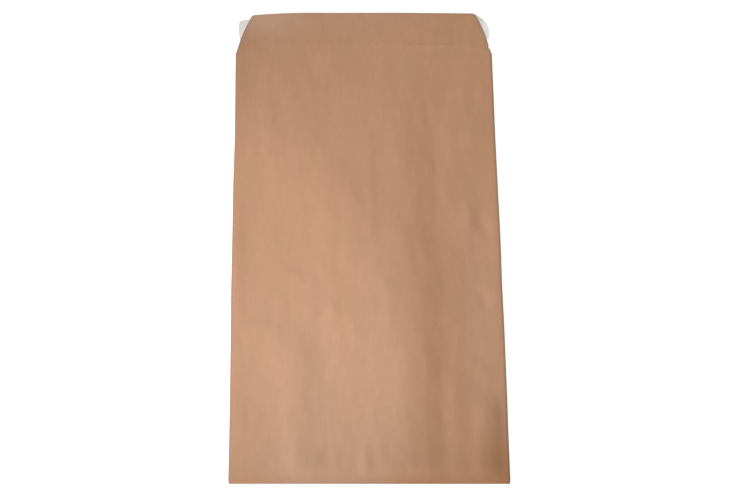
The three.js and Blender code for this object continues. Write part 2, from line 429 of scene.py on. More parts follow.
@dataclass(frozen=True)
class Handling:
    """What making, packing and handling have left in the front panel: flutes, ridges, furrows and dents. It
    also gives the spots of painted sheen and shade in the paper's colour.

    Attributes:
        fade_in: Width beside a side fold in which the unevenness dies away.
        foot_fade: Length over the folded bottom in which it dies away.
        foot_gain: How much stronger the flutes are at the glued bottom, as a share.
        droop_run: Length past the mouth in which the droop of the flap's corner sets in.
    """

    fade_in: float = 13 * MM
    foot_fade: float = 15 * MM
    foot_gain: float = 0.6
    droop_run: float = 36 * MM

    def flutes(self) -> list[Unevenness]:
        """The low waves that run down the sheet."""
        return [
            Unevenness(seed=11, across=7 * MM, along=24 * MM, height=0.045 * MM),
            Unevenness(seed=12, across=3.8 * MM, along=11 * MM, height=0.025 * MM),
            Unevenness(seed=13, across=14 * MM, along=30 * MM, height=0.062 * MM),
            Unevenness(seed=14, across=30 * MM, along=36 * MM, height=0.06 * MM),
        ]

    def rumpling(self, x: np.ndarray, length: np.ndarray) -> np.ndarray:
        """Small dents in the part that is handled most.

        Args:
            x: Places across the bag.
            length: Places along the bag.

        Returns:
            The height at each place.
        """
        handled = Swell(-40 * MM, 140 * MM, height=1.0, across=70 * MM, along=90 * MM)
        dents = Unevenness(seed=15, across=8 * MM, along=10 * MM, height=0.05 * MM)
        return handled.at(x, length) * dents.at(x, length)

    def swells(self) -> list[Swell]:
        """The broad forms of the empty bag."""
        return [
            Swell.in_mm(-72, 195, -1.3, across=33, along=90),
            Swell.in_mm(-30, 396, -1.1, across=62, along=38),
            Swell.in_mm(30, 95, 1.4, across=34, along=85),
            Swell.in_mm(92, 34, 1.1, across=18, along=38),
            Swell.in_mm(104, 185, -0.5, across=12, along=85),
            Swell.in_mm(-68, 440, 0.7, across=22, along=30),
            Swell.in_mm(-102, 255, -0.4, across=11, along=55),
        ]

    def flap_droop(self) -> Swell:
        """The left corner of the flap, which hangs down."""
        return Swell.in_mm(-134, 452, -5.0, across=28, along=60, turn=-33)

    def long_folds(self) -> list[Crest]:
        """Ridges and furrows that run down the panel, most of them over the inner folds of the gussets.

        Returns:
            Those over the right gusset, then those over the left one, then the long diagonal.
        """
        valley = ((63, 365), (65, 310), (67, 240), (68, 160), (68, 80), (66, -30))
        valley_floor = ((65, 345), (66, 240), (68, 160), (68, 80), (66, -30))
        upper_diagonal = ((-118, 334), (-104, 322), (-73, 302), (-40, 276), (-8, 234))
        lower_diagonal = ((17, 208), (28, 172), (33, 125), (34, 50), (34, -30))
        return [
            Crest.in_mm(valley, -0.42, 10, 20, fade=30),
            Crest.in_mm(valley_floor, -0.1, 3.5, 3.5, fade=30),
            Crest.in_mm(((90, 285), (90, 240), (89, 205)), 0.2, 8, 10),
            Crest.in_mm(((61, 350), (62, 300), (62, 245)), -0.25, 12, 7, fade=30),
            Crest.in_mm(((49, 130), (50, 60), (51, -30)), 0.6, 18, 9.5, fade=30),
            Crest.in_mm(((79, 110), (78, 60), (76, -25)), 0.6, 6.5, 6, fade=30),
            Crest.in_mm(((107, 80), (103, 40), (99, -25)), 1.4, 7, 12, fade=24),
            Crest.in_mm(((-69, 140), (-65, 95), (-61, 55), (-55, -20)), 1.15, 15, 14, fade=40),
            Crest.in_mm(((-68, 102), (-67, 60), (-65, 20), (-64, -20)), 0.36, 6.5, 11, fade=30),
            Crest.in_mm(((-43, 175), (-43, 130), (-36, 90), (-34, 60)), -0.2, 7, 9, fade=40),
            Crest.in_mm(upper_diagonal + lower_diagonal, 1.35, 34, 24, fade=50),
            Crest.in_mm(((-7, 300), (-5, 262), (8, 226)), -0.1, 4, 10, fade=40),
        ]

    def bottom_puckers(self) -> list[Crest]:
        """Short gathers over the turned-up and glued bottom, each by its place, its reach and its height."""
        gathers = (
            (-97, 30, 0.18),
            (-66, 40, 0.26),
            (-48, 34, 0.12),
            (-31, 36, 0.26),
            (-4, 38, 0.4),
            (18, 26, 0.2),
            (36, 34, 0.22),
        )
        return [
            Crest.in_mm(((x, 0), (x + 1, reach / 2), (x - 1, reach)), height, 3, 3.2, fade=24)
            for x, reach, height in gathers
        ]

    def marks(self) -> list[Crest]:
        """Separate creases and dents from handling."""
        return [
            Crest.in_mm(((-57, 408), (-54, 394), (-51, 379), (-45, 356)), -0.38, 3, 7),
            Crest.in_mm(((-88, 366), (-86, 343), (-82, 312)), -0.12, 4, 9),
            Crest.in_mm(((-90, 191), (-70, 186), (-46, 174)), 0.32, 10, 3),
            Crest.in_mm(((-128, 136.5), (-90, 137), (-54, 135)), 0.45, 14, 3.2),
            Crest.in_mm(((-40, 165), (-31, 151), (-22, 138)), 0.32, 3.5, 4.5),
            Crest.in_mm(((-17, 148), (-10, 128), (-4, 106)), 0.32, 3.5, 5),
            Crest.in_mm(((8, 192), (18, 173), (30, 154)), 0.34, 5, 5),
            Crest.in_mm(((94, 262), (96, 240), (98, 212)), 0.5, 6, 4.5),
            Crest.in_mm(((106, 250), (107, 232), (115, 214)), -0.42, 3, 5),
            Crest.in_mm(((104, 178), (106, 163), (114, 149)), -0.4, 3, 5),
            Crest.in_mm(((88, 398), (83, 372), (74, 342)), -0.34, 3.5, 8),
            Crest.in_mm(((95, 378), (95, 360), (94, 340)), 0.16, 3, 4),
            Crest.in_mm(((113, 380), (113, 364), (112, 348)), 0.16, 3, 4),
            Crest.in_mm(((112, 345), (108, 325), (110, 300)), 0.25, 6, 8),
            Crest.in_mm(((84, 118), (100, 100), (118, 84)), 0.4, 5, 5),
        ]

    def painted_sheen_and_shade(self, x: np.ndarray, length: np.ndarray) -> np.ndarray:
        """Lighter and darker spots in the paper's colour: painted sheen where lighter, painted shade where
        darker.

        Args:
            x: Places across the bag.
            length: Places along the bag.

        Returns:
            The share at each place, up to 1 where it is palest and down to -1 where it is darkest.
        """
        # Each row: middle across, place along, share (above 0 painted sheen, below 0 painted shade), half
        # width and half length, in mm.
        rows = (
            (-102, 436, 0.9, 24, 14),
            (-40, 438, 0.35, 50, 10),
            (-70, 16, 0.4, 34, 24),
            (-72, 90, 0.25, 44, 70),
            (-8, 24, 0.4, 26, 34),
            (-44, 60, 0.3, 12, 40),
            (16, 110, 0.35, 16, 70),
            (104, 135, 0.4, 10, 60),
            (60, 290, -0.3, 12, 60),
            (62, 90, -0.2, 8, 90),
            (121, 6, -1.0, 18, 25),
            (44, 2, -0.5, 24, 7),
            (-108, 0, -0.35, 14, 7),
        )
        sheen_and_shade_patches = [
            Swell(middle * MM, place * MM, paleness, across * MM, along * MM)
            for middle, place, paleness, across, along in rows
        ]
        return np.clip(sum(sheen_and_shade_patch.at(x, length) for sheen_and_shade_patch in sheen_and_shade_patches), -1.0, 1.0)

    def height(self, x: np.ndarray, length: np.ndarray, sizes: BagSizes) -> np.ndarray:
        """Height of all of it over the plain arch of the panel.

        Args:
            x: Places across the bag.
            length: Places along the bag.
            sizes: Sizes of the folded bag.

        Returns:
            The height at each place, 0 at the side folds and at the bottom fold.
        """
        on_flap = ramp(length, sizes.tube, sizes.tube + 2 * sizes.crease)
        inward = np.maximum(ramp(sizes.side_centre - np.abs(x), 0.0, self.fade_in), on_flap)
        upward = ramp(length, sizes.bend_centre, sizes.bend_centre + self.foot_fade)
        strength = 1 + self.foot_gain * (1 - ramp(length, 0.0, sizes.settle_end))
        total = sum(wave.at(x, length) for wave in self.flutes()) * strength + self.rumpling(x, length)
        on_droop = ramp(length, sizes.tube, sizes.tube + self.droop_run)
        total = total + self.flap_droop().at(x, length) * on_droop
        for form in (*self.swells(), *self.long_folds(), *self.bottom_puckers(), *self.marks()):
            total = total + form.at(x, length)
        pressed = 1 - ramp(length, sizes.settle_start, sizes.settle_end)
        total = np.where(total < 0, total * (1 - pressed), total)
        return total * inward * upward


@dataclass(frozen=True)
class ScoreLine:
    """The low ridge along the line on which the flap folds shut, plain on the right and faint on the left.

    Attributes:
        height: Height of the ridge.
        foot: Width of its flank towards the mouth.
        brow: Width of its steeper flank towards the flap's edge.
        offset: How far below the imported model's crease it lies.
        fall: How much further down it runs out at the flap's right side.
        falling: Places across the bag between which it does so.
        faint: Share of its height that is left on the left.
        rising: Places across the bag between which it comes up to its full height.
        ending: Places across the bag between which it goes down again.
        end_loss: Share of its height that it has lost after them.
    """

    height: float = 0.145 * MM
    foot: float = 1.8 * MM
    brow: float = 0.9 * MM
    offset: float = 0.9 * MM
    fall: float = 6 * MM
    falling: tuple[float, float] = (88 * MM, 136 * MM)
    faint: float = 0.15
    rising: tuple[float, float] = (10 * MM, 50 * MM)
    ending: tuple[float, float] = (85 * MM, 105 * MM)
    end_loss: float = 0.6

    def at(self, x: np.ndarray, over_crease: np.ndarray) -> np.ndarray:
        """Height of the ridge.

        Args:
            x: Places across the bag.
            over_crease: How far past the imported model's crease each place lies.

        Returns:
            The height at each place.
        """
        distance = over_crease + self.offset + self.fall * ramp(x, *self.falling)
        plain = ramp(x, *self.rising) * (1 - self.end_loss * ramp(x, *self.ending))
        held = self.faint + (1 - self.faint) * plain
        width = np.where(distance < 0, self.foot, self.brow)
        return held * self.height * np.exp(-((distance / width) ** 2) / 2)


@dataclass
class FrontPanel:
    """The surface of the front panel and of the flap that carries on from it.

    Attributes:
        sizes: Sizes of the folded bag.
        handling: What handling has left in the panel.
        score: The ridge of the flap's score line.
        slack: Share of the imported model's crown that is left where the paper has sagged.
        mouth_print: Low ridge that the edge of the left gusset presses through at the mouth.
        print_width: Width of each of its flanks.
        print_span: Places across the bag between which it comes up.
    """

    sizes: BagSizes
    handling: Handling = field(default_factory=Handling)
    score: ScoreLine = field(default_factory=ScoreLine)
    slack: float = 0.7
    mouth_print: float = 0.05 * MM
    print_width: float = 1.2 * MM
    print_span: tuple[float, float] = (-60 * MM, -90 * MM)

    def plain_height(self, x: np.ndarray, length: np.ndarray) -> np.ndarray:
        """Height of the plain arch, with the dip of the flap.

        Args:
            x: Places across the bag.
            length: Places along the bag.

        Returns:
            The height at each place.
        """
        sizes = self.sizes
        opened = sizes.opened(length)
        eased = 1 - (1 - sizes.crown_at_edge) * ramp(length, sizes.tube - sizes.easing_run, sizes.overall)
        arch = sizes.crown * self.slack * opened * eased * (1 - (x / sizes.side_centre) ** 2)
        dip = np.maximum(length - sizes.tube - sizes.crease, 0) * math.tan(sizes.crease_dip)
        return sizes.side_height(length) + arch - dip

    def height(self, x: np.ndarray, length: np.ndarray) -> np.ndarray:
        """Height of the middle of the paper over the table.

        Args:
            x: Places across the bag.
            length: Places along the bag.

        Returns:
            The height at each place.
        """
        sizes = self.sizes
        off_mouth = (length - sizes.tube) / self.print_width
        step = self.mouth_print * ramp(x, *self.print_span) * np.exp(-(off_mouth**2) / 2)
        score = self.score.at(x, length - sizes.tube - sizes.crease)
        return self.plain_height(x, length) + self.handling.height(x, length, sizes) + score + step


class Sheet:
    """A grid of points along the middle of a sheet, which is thickened into one closed mesh.

    Rows run along the bag and columns across it. A point that the sheet doesn't reach is not a number.
    """

    def __init__(self, rows: np.ndarray, stock: float) -> None:
        """Keeps the grid.

        Args:
            rows: Points, with rows, columns and coordinates as the axes.
            stock: Thickness of the sheet.
        """
        self.rows = rows
        self.stock = stock
        self.here = ~np.isnan(rows[..., 0])

    def _step(self, axis: int) -> np.ndarray:
        """Difference between the neighbours of each point, one-sided at the sheet's edge.

        Args:
            axis: The axis along which they are neighbours, 0 for rows and 1 for columns.

        Returns:
            The difference at each point.
        """
        padding = [(0, 0), (0, 0), (0, 0)]
        padding[axis] = (1, 1)
        wide = np.pad(self.rows, padding, constant_values=np.nan)
        count = self.rows.shape[axis]
        before = np.take(wide, range(count), axis)
        after = np.take(wide, range(2, count + 2), axis)
        before = np.where(np.isnan(before), self.rows, before)
        after = np.where(np.isnan(after), self.rows, after)
        return after - before

    def normals(self) -> np.ndarray:
        """Unit normals of the grid, out of the bag."""
        normal = np.cross(self._step(1), self._step(0))
        return normal / np.linalg.norm(normal, axis=-1, keepdims=True)

    def _faces(self) -> list[tuple[int, int, int, int]]:
        """Lays faces over both sides and round the cut edges.

        Returns:
            The faces as numbers of points, the outer side's points being counted first.
        """
        here = self.here
        cells = here[:-1, :-1] & here[:-1, 1:] & here[1:, :-1] & here[1:, 1:]
        number = np.full(here.shape, -1)
        number[here] = np.arange(here.sum())
        inner = int(here.sum())
        j, i = np.nonzero(cells)
        ring = [number[j, i], number[j, i + 1], number[j + 1, i + 1], number[j + 1, i]]
        outside = np.stack(ring, axis=1)
        inside = outside[:, ::-1] + inner
        bordered = np.pad(cells, 1)
        neighbours = ((0, 1), (1, 2), (2, 1), (1, 0))
        rims = []
        for side, (down, right) in enumerate(neighbours):
            is_open = ~bordered[j + down, i + right]
            a, b = ring[side][is_open], ring[(side + 1) % 4][is_open]
            rims.append(np.stack([a + inner, b + inner, b, a], axis=1))
        return np.vstack([outside, inside, *rims]).tolist()

    def mesh(self, name: str, fields: dict[str, np.ndarray]) -> bpy.types.Mesh:
        """Builds the closed mesh.

        Args:
            name: Name of the mesh.
            fields: Values that the finish reads, by name, each of the grid's shape or with 3 values a point.

        Returns:
            The mesh, smooth but for its cut edges, with the fields and with "inner" set on its inner side.
        """
        normals = self.normals()[self.here] * self.stock / 2
        middle = self.rows[self.here]
        points = np.vstack([middle + normals, middle - normals])
        mesh = bpy.data.meshes.new(name)
        mesh.from_pydata(points.tolist(), [], self._faces())
        mesh.shade_smooth()
        mesh.set_sharp_from_angle(angle=SHARP_ANGLE)
        sides = {"inner": np.concatenate([np.zeros(len(middle)), np.ones(len(middle))])}
        for field_name, values in fields.items():
            sides[field_name] = np.concatenate([values[self.here]] * 2)
        for field_name, values in sides.items():
            store_field(mesh, field_name, values)
        mesh.validate()
        return mesh


def store_field(mesh: bpy.types.Mesh, name: str, values: np.ndarray) -> None:
    """Stores a value for each point of a mesh, for its finish to read.

    Args:
        mesh: The mesh.
        name: Name of the field.
        values: One value a point, or three.
    """
    if values.ndim == 1:
        mesh.attributes.new(name, "FLOAT", "POINT").data.foreach_set("value", values.astype(np.float32))
    else:
        layer = mesh.attributes.new(name, "FLOAT_VECTOR", "POINT")
        layer.data.foreach_set("vector", values.astype(np.float32).ravel())


def add_object(name: str, data: bpy.types.ID) -> bpy.types.Object:
    """Adds an object to the scene.

    Args:
        name: Its name.
        data: Its mesh, lamp or camera.

    Returns:
        The object.
    """
    made = bpy.data.objects.new(name, data)
    bpy.context.collection.objects.link(made)
    return made


def linear(colour: Colour) -> tuple[float, float, float, float]:
    """Turns a colour of 0 to 255 as seen on a screen into a shader's linear colour."""

    def channel(value: int) -> float:
        """One channel of it."""
        share = value / 255
        return share / 12.92 if share <= 0.04045 else ((share + 0.055) / 1.055) ** 2.4

    return *map(channel, colour), 1.0


class NodeTree:
    """Short hand for the nodes of a material or of the world."""

    def __init__(self, tree: bpy.types.NodeTree) -> None:
        """Takes up a tree.

        Args:
            tree: The tree that the nodes go into.
        """
        self.tree = tree

    def node(self, kind: str, **settings: object) -> bpy.types.Node:
        """Adds a node.

        Args:
            kind: Its kind, by the node's own name.
            settings: Its properties.

        Returns:
            The node.
        """
        made = self.tree.nodes.new(kind)
        for name, value in settings.items():
            setattr(made, name, value)
        return made

    def wire(self, source: Socket, target: Socket) -> None:
        """Joins two sockets."""
        self.tree.links.new(source, target)

    def feed(self, value: object, target: Socket) -> None:
        """Wires a socket to the target, or sets a plain value on it."""
        if isinstance(value, Socket):
            self.wire(value, target)
        else:
            target.default_value = value

    def field(self, name: str, output: str = "Fac") -> Socket:
        """Reads a field that is stored on the mesh."""
        return self.node("ShaderNodeAttribute", attribute_name=name).outputs[output]

    def seen(self) -> Socket:
        """Tells what is seen from what only gives light.

        Returns:
            1 for what is seen directly, mirrored or through glass, and 0 for light on its way to a surface.
        """
        path = self.node("ShaderNodeLightPath").outputs
        mirrored = self.math("MAXIMUM", path["Is Glossy Ray"], path["Is Transmission Ray"])
        return self.math("MAXIMUM", path["Is Camera Ray"], mirrored)

    def noise(
        self, place: Socket, scale: float, detail: float = 2.0, stretch: Triple | None = None
    ) -> Socket:
        """Noise from about 0.2 to 0.8, read at a place.

        Args:
            place: Where it is read.
            scale: Its cells to a metre.
            detail: Finer layers that are laid into it.
            stretch: Share of the scale that is left along each axis, which draws it out into streaks.

        Returns:
            The socket that gives it.
        """
        if stretch:
            stretched = self.node("ShaderNodeVectorMath", operation="MULTIPLY")
            self.wire(place, stretched.inputs[0])
            stretched.inputs[1].default_value = stretch
            place = stretched.outputs[0]
        node = self.node("ShaderNodeTexNoise")
        self.wire(place, node.inputs["Vector"])
        node.inputs["Scale"].default_value = scale
        node.inputs["Detail"].default_value = detail
        return node.outputs["Fac"]

    def math(self, operation: str, *values: object) -> Socket:
        """One step of arithmetic.

        Args:
            operation: Which one, by the math node's own name.
            values: What it works on, each a socket or a number.

        Returns:
            The socket that gives the result.
        """
        node = self.node("ShaderNodeMath", operation=operation)
        for value, target in zip(values, node.inputs):
            self.feed(value, target)
        return node.outputs[0]

    def span(self, value: object, low: float, high: float, to_low: float, to_high: float) -> Socket:
        """Carries a value from one span to another, and holds it at the ends.

        Args:
            value: The value.
            low: Start of the span that it comes from.
            high: End of that span.
            to_low: Start of the span that it goes to.
            to_high: End of that span.

        Returns:
            The socket that gives the new value.
        """
        node = self.node("ShaderNodeMapRange")
        for item, target in zip((value, low, high, to_low, to_high), node.inputs):
            self.feed(item, target)
        return node.outputs[0]

    def blend(self, share: object, first: object, second: object, mode: str = "MIX") -> Socket:
        """Mixes two colours.

        Args:
            share: Share of the second one.
            first: The colour that is there.
            second: The colour that is laid over it.
            mode: How it is laid, by the mix node's own name.

        Returns:
            The socket that gives the mixed colour.
        """
        node = self.node("ShaderNodeMix", data_type="RGBA", blend_type=mode)
        self.feed(share, node.inputs["Factor"])
        self.feed(first, node.inputs[6])
        self.feed(second, node.inputs[7])
        return node.outputs[2]


class Shader(NodeTree):
    """One material with a principled surface."""

    def __init__(self, name: str) -> None:
        """Starts the material.

        Args:
            name: Name of the material.
        """
        self.material = bpy.data.materials.new(name)
        self.material.use_nodes = True
        super().__init__(self.material.node_tree)
        self.surface = self.tree.nodes["Principled BSDF"]

    def coat(self, inputs: dict[str, object]) -> None:
        """Sets inputs of the surface by name, each to a plain value or to what a socket gives."""
        for name, value in inputs.items():
            self.feed(value, self.surface.inputs[name])

    def bump(self, height: Socket, depth: float) -> None:
        """Lays a fine relief on the surface.

        Args:
            height: The relief, from 0 to 1.
            depth: Its depth in metres.
        """
        node = self.node("ShaderNodeBump")
        node.inputs["Strength"].default_value = 1.0
        node.inputs["Distance"].default_value = depth
        self.wire(height, node.inputs["Height"])
        self.coat({"Normal": node.outputs[0]})


@dataclass(frozen=True)
class KraftFinish:
    """Brown kraft paper: cloudy, faintly streaked along the web, flecked with fibres, darker on its folds from
    wear and painted shade, with spots of painted sheen and shade.

    Attributes:
        brown: Its usual colour.
        rosy: The pinker colour that it drifts to.
        olive: The greener colour that it drifts to.
        calm: Share of the usual colour that is laid over the drift.
        fleck: Dark fibres, and the specks.
        pale_fibre: Pale fibres.
        wear_and_shade: Colour of the folds and cut edges, partly wear and partly painted shade where the paper
            turns from the light.
        painted_sheen: Colour of the lighter spots, which are painted sheen.
        painted_shade: Colour of the darker spots, which are painted shade.
        specks: Places of the dark specks, across and along the bag.
        speck_radius: How far a speck reaches.
        speck_share: How much of the fleck colour its middle takes.
        roughness: Roughness of the outside, on average.
        rougher: How much rougher and smoother it is in the clouds.
        inner_rougher: How much rougher the inside is.
        gloss: Level of its shine.
        relief: Depth of its grain.
    """

    brown: Colour = (192, 147, 117)
    rosy: Colour = (197, 149, 121)
    olive: Colour = (189, 148, 115)
    calm: float = 0.4
    fleck: Colour = (138, 100, 72)
    pale_fibre: Colour = (214, 178, 148)
    wear_and_shade: Colour = (146, 126, 107)
    painted_sheen: Colour = (200, 163, 138)
    painted_shade: Colour = (182, 134, 95)
    specks: tuple[tuple[float, float], ...] = ((12 * MM, 408.8 * MM), (45 * MM, 408.4 * MM))
    speck_radius: float = 1.1 * MM
    speck_share: float = 0.85
    roughness: float = 0.75
    rougher: float = 0.05
    inner_rougher: float = 0.12
    gloss: float = 0.25
    relief: float = 0.03 * MM

    def speck(self, shader: Shader, place: Socket, x: float, length: float) -> Socket:
        """Draws one speck.

        Args:
            shader: The paper's material.
            place: Where its colour is read.
            x: Middle of the speck across the bag.
            length: Its middle along the bag.

        Returns:
            How much of the fleck colour it lays there.
        """
        gap = shader.node("ShaderNodeVectorMath", operation="DISTANCE")
        shader.wire(place, gap.inputs[0])
        gap.inputs[1].default_value = (x, length, 0.0)
        return shader.span(gap.outputs["Value"], 0.0, self.speck_radius, self.speck_share, 0.0)

    def material(self) -> bpy.types.Material:
        """Builds the material.

        Returns:
            A material that reads the fields "place", "worn", "patch" and "inner".
        """
        shader = Shader("kraft_paper")
        place = shader.field("place", "Vector")
        clouds = shader.noise(place, scale=70, detail=3, stretch=(1.0, 0.55, 1.0))
        mottle = shader.noise(place, scale=240, stretch=(1.0, 0.45, 1.0))
        drift = shader.noise(place, scale=34, stretch=(1.0, 0.6, 1.0))
        streaks = shader.noise(place, scale=620, stretch=(1.0, 0.07, 1.0))
        fibres = shader.noise(place, scale=2300, stretch=(1.0, 0.2, 1.0))
        grain = shader.noise(place, scale=1500, detail=3)
        sheen_and_shade_patch = shader.field("sheen_and_shade_patch")

        colour = shader.blend(shader.span(drift, 0.3, 0.7, 0.0, 1.0), linear(self.olive), linear(self.rosy))
        layers = [
            (self.calm, self.brown),
            # Painted sheen where the spots are lighter, painted shade where they are darker.
            (shader.span(sheen_and_shade_patch, 0.0, 1.0, 0.0, 1.0), self.painted_sheen),
            (shader.span(sheen_and_shade_patch, 0.0, -1.0, 0.0, 1.0), self.painted_shade),
            (shader.span(fibres, 0.66, 0.74, 0.0, 0.5), self.fleck),
            (shader.span(fibres, 0.34, 0.26, 0.0, 0.4), self.pale_fibre),
        ]
        layers += [(self.speck(shader, place, *spot), self.fleck) for spot in self.specks]
        for share, laid in layers:
            colour = shader.blend(share, colour, linear(laid))

        tone = shader.span(clouds, 0.25, 0.75, 0.97, 1.02)
        for pattern, strength in ((streaks, 0.015), (mottle, 0.02), (grain, 0.02)):
            tone = shader.math("ADD", tone, shader.span(pattern, 0.3, 0.7, -strength, strength))
        colour = shader.blend(1.0, colour, tone, "MULTIPLY")
        # Folds and cut edges are darkened: partly wear, partly painted shade where the paper turns from the
        # light.
        edge_wear_and_shade = shader.math("MULTIPLY", shader.field("wear_and_shade"), shader.span(clouds, 0.3, 0.7, 0.45, 0.75))
        colour = shader.blend(edge_wear_and_shade, colour, linear(self.wear_and_shade))

        smooth, rough = self.roughness - self.rougher, self.roughness + self.rougher
        inner = shader.math("MULTIPLY", shader.field("inner"), self.inner_rougher)
        roughness = shader.math("ADD", shader.span(clouds, 0.25, 0.75, smooth, rough), inner)
        shader.coat({"Base Color": colour, "Roughness": roughness, "Specular IOR Level": self.gloss})

        relief = shader.math("MULTIPLY", grain, 0.5)
        for pattern, strength in ((fibres, 0.35), (streaks, 0.6)):
            relief = shader.math("ADD", relief, shader.math("MULTIPLY", pattern, strength))
        shader.bump(relief, self.relief)
        return shader.material


@dataclass(frozen=True)
class LinerFinish:
    """White siliconised release paper, with grey painted shade where its right end has a crumple, which is not
    built.

    Attributes:
        white: Its usual colour.
        cream: The warmer colour that it is clouded with.
        grey: Colour of the painted shade in the crumple of the right end.
        roughness: Roughness where it is smoothest.
        rougher: How much rougher it is elsewhere.
        gloss: Level of its shine.
        relief: Depth of its grain.
    """

    white: Colour = (248, 250, 254)
    cream: Colour = (246, 246, 244)
    grey: Colour = (176, 182, 172)
    roughness: float = 0.42
    rougher: float = 0.12
    gloss: float = 0.4
    relief: float = 0.02 * MM

    def material(self) -> bpy.types.Material:
        """Builds the material.

        Returns:
            A material that reads the fields "place" and "worn".
        """
        shader = Shader("release_paper")
        place = shader.field("place", "Vector")
        clouds = shader.noise(place, scale=180, detail=3)
        grain = shader.noise(place, scale=2200)
        cloudy = shader.span(clouds, 0.3, 0.7, 0.0, 1.0)
        colour = shader.blend(cloudy, linear(self.white), linear(self.cream))
        # Painted shade: grey where the crumple in the right end is.
        colour = shader.blend(shader.field("wear_and_shade"), colour, linear(self.grey))
        rough = shader.span(clouds, 0.3, 0.7, self.roughness, self.roughness + self.rougher)
        shader.coat({"Base Color": colour, "Roughness": rough, "Specular IOR Level": self.gloss})
        shader.bump(shader.math("ADD", grain, clouds), self.relief)
        return shader.material


@dataclass(frozen=True)
class FilmFinish:
    """A film that bonds two papers, milky and streaked along the way it was laid down.

    Attributes:
        name: Name of the material.
        body: Its usual colour.
        streak: Colour of its streaks.
        roughness: Roughness where it is smoothest.
        coat: How much clear gloss lies on it.
        rougher: How much rougher it is elsewhere.
        coat_roughness: Roughness of that gloss.
        relief: Depth of its beads and streaks.
    """

    name: str
    body: Colour
    streak: Colour
    roughness: float
    coat: float
    rougher: float = 0.15
    coat_roughness: float = 0.15
    relief: float = 0.05 * MM

    def material(self) -> bpy.types.Material:
        """Builds the material.

        Returns:
            A material that is drawn by the place on the object.
        """
        shader = Shader(self.name)
        place = shader.node("ShaderNodeTexCoord").outputs["Object"]
        runs = shader.noise(place, scale=900, stretch=(0.08, 1.0, 1.0))
        beads = shader.noise(place, scale=700, detail=3)
        streaky = shader.span(runs, 0.3, 0.7, 0.0, 1.0)
        shader.coat(
            {
                "Base Color": shader.blend(streaky, linear(self.body), linear(self.streak)),
                "Roughness": shader.span(beads, 0.3, 0.7, self.roughness, self.roughness + self.rougher),
                "Coat Weight": self.coat,
                "Coat Roughness": self.coat_roughness,
            }
        )
        shader.bump(shader.math("ADD", beads, runs), self.relief)
        return shader.material


PASTE = FilmFinish("paste_glue", body=(217, 203, 166), streak=(196, 178, 138), roughness=0.5, coat=0.0)
HOT_MELT = FilmFinish("seal_adhesive", body=(233, 228, 210), streak=(214, 206, 180), roughness=0.25, coat=0.6)


class Part(Enum):
    """What a stretch of the tube's cross-section makes."""

    FLAT = "flat"
    FOLD = "fold"
    FRONT = "front"


@dataclass(frozen=True)
class Section:
    """Cross-section of the tube, from the inner lap's edge once round to the outer lap's edge.

    Attributes:
        x: Place of each column across the bag.
        height: Its height over the back panel's outside.
        turns: Whether it turns a fold.
        front: The columns that make the front panel.
    """

    x: np.ndarray
    height: np.ndarray
    turns: np.ndarray
    front: slice

    @classmethod
    def joined(cls, stretches: list[tuple[Part, np.ndarray, np.ndarray]]) -> "Section":
        """Joins stretches end to end, with no point twice.

        Args:
            stretches: For each stretch what it makes, its places across the bag and its heights.

        Returns:
            The section.
        """
        kept = [stretches[0], *((part, x[1:], height[1:]) for part, x, height in stretches[1:])]

        def making(wanted: Part) -> np.ndarray:
            """Whether each column makes this part."""
            return np.concatenate([np.full(len(x), part is wanted) for part, x, _ in kept])

        x = np.concatenate([x for _, x, _ in kept])
        height = np.concatenate([height for _, _, height in kept])
        front = np.flatnonzero(making(Part.FRONT))
        return cls(x, height, making(Part.FOLD), slice(front[0] - 1, front[-1] + 1))

    def spread(self, values: np.ndarray, empty: float) -> np.ndarray:
        """Carries values on from the front panel's columns to all columns.

        Args:
            values: One value, or one row of them, for each column of the front panel.
            empty: What the other columns get.

        Returns:
            The same for each column of the section.
        """
        wide = np.full((len(self.x), *values.shape[1:]), empty)
        wide[self.front] = values
        return wide


@dataclass(frozen=True)
class Stop:
    """Where a row of the tube lies on the sheet's way along the bag.

    Attributes:
        length: Length at which its section is read.
        y: Place along the bag of the section's height 0.
        z: Height of that place over the table.
        lean: Lean of the section's height axis from +Z towards -Y.
        walked: The way walked on the paper, from the bottom fold.
    """

    length: float
    y: float
    z: float
    lean: float
    walked: float


